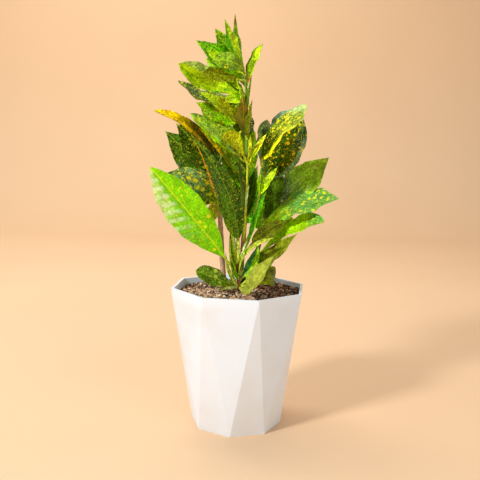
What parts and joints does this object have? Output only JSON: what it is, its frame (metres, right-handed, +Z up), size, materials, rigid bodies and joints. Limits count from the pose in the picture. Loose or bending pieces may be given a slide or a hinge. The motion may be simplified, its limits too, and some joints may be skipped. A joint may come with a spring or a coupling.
{
  "type": "potted croton plant",
  "caption": "Potted croton house plant: an upright bush of long spotted leaves on woody canes, standing in soil in a tapered, faceted eight-sided planter.",
  "frame": {"origin": "middle of the pot's flat underside, on the surface that the pot stands on", "axes": "+Z up along the pot's axis, -Y towards the front, which is the side seen in the picture, +X to the right seen from the front"},
  "size_m": [0.1978, 0.1589, 0.441],
  "materials": {
    "pot": "smooth matt white plastic",
    "soil": "loose bark chips and potting mix",
    "bark": "rough grey-brown bark",
    "leaf": "waxy green leaf with yellow spots",
    "lime": "soft, pale lime young leaf"
  },
  "bodies": {
    "root": {"pot": "pot", "soil": "soil", "centre_cane": "bark", "left_cane": "bark", "right_cane": "bark", "tall_shoot": "leaf", "left_shoot": "leaf", "right_shoot": "leaf", "front_shoot": "leaf", "young_left": "lime", "young_right": "lime"}
  },
  "joints": []
}
